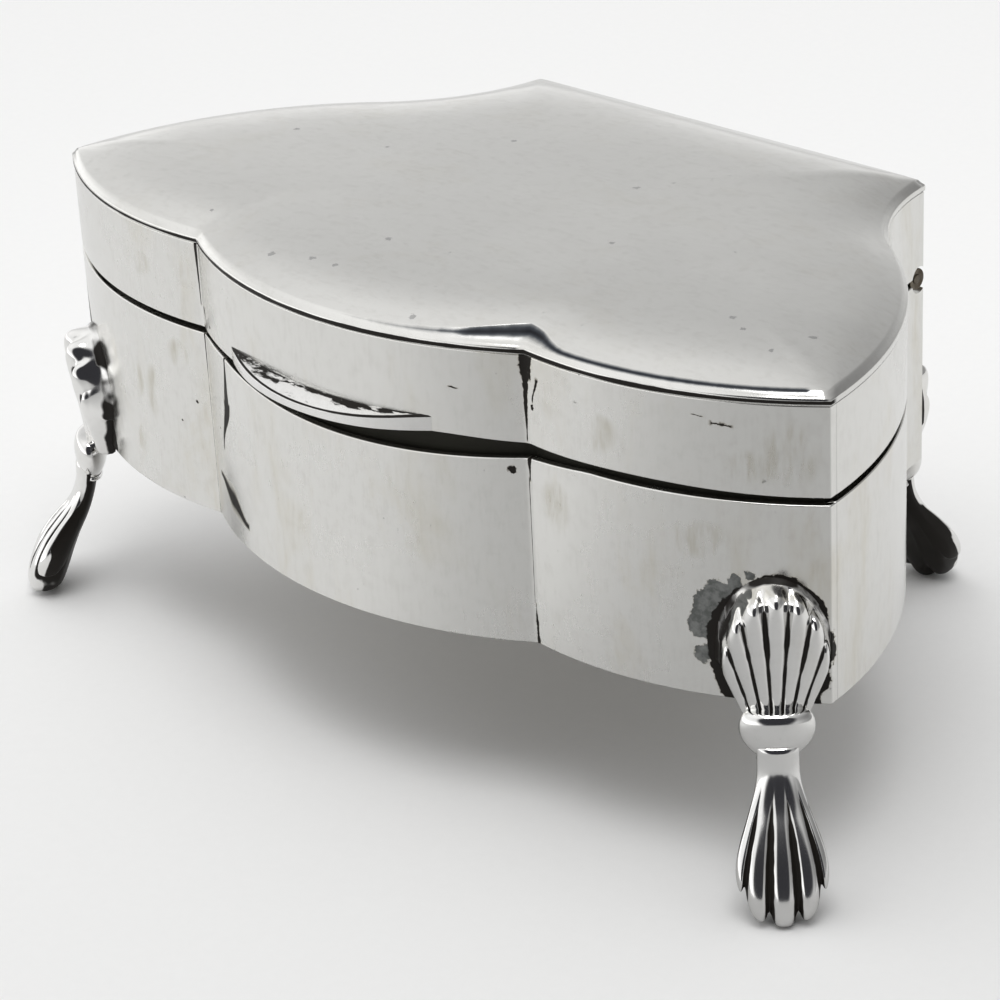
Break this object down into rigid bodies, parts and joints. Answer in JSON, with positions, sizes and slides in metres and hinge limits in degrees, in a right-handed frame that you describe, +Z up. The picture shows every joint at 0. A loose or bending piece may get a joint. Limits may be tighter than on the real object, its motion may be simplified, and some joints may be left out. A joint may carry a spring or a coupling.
{
  "type": "trinket box",
  "caption": "Silver trinket box with a bowed serpentine front and curved sides, a crowned lid hinged at the back, a crescent thumb-piece, and splayed legs with shell knees and fluted feet",
  "frame": {"origin": "On the floor, under the middle of the whole box, legs and thumb-piece included", "axes": "+X to the right of a person facing the thumb-piece, +Y towards the hinge at the back, +Z up"},
  "size_m": [0.098, 0.064, 0.0453],
  "materials": {
    "silver_sheet": "polished silver sheet with fine scuffs and a thin uneven tarnish",
    "cast_silver": "bright cast silver with dark tarnish left in the grooves",
    "hinge_tube": "drawn silver tube, dulled by handling",
    "pin_wire": "plain drawn wire",
    "velvet": "short dark blue velvet over card and wadding"
  },
  "bodies": {
    "base": {"base_back_wall": "silver_sheet", "base_front_wall": "silver_sheet", "base_knuckle_1": "hinge_tube", "base_knuckle_3": "hinge_tube", "base_knuckle_5": "hinge_tube", "base_left_wall": "silver_sheet", "base_plate": "silver_sheet", "base_right_wall": "silver_sheet", "floor_pad": "velvet", "front_left_leg": "cast_silver", "front_right_leg": "cast_silver", "hinge_pin": "pin_wire", "rear_left_leg": "cast_silver", "rear_right_leg": "cast_silver", "rim_lip": "silver_sheet", "wall_lining": "velvet"},
    "lid": {"lid_back_wall": "silver_sheet", "lid_front_wall": "silver_sheet", "lid_knuckle_2": "hinge_tube", "lid_knuckle_4": "hinge_tube", "lid_left_wall": "silver_sheet", "lid_pad": "velvet", "lid_right_wall": "silver_sheet", "lid_top": "silver_sheet", "thumb_piece": "silver_sheet"}
  },
  "joints": [
    {"name": "lid_hinge", "type": "hinge", "parent": "base", "child": "lid", "pos_m": [0, 0.02233, 0.034], "axis": [-1, 0, 0], "range_deg": [0, 100]}
  ]
}
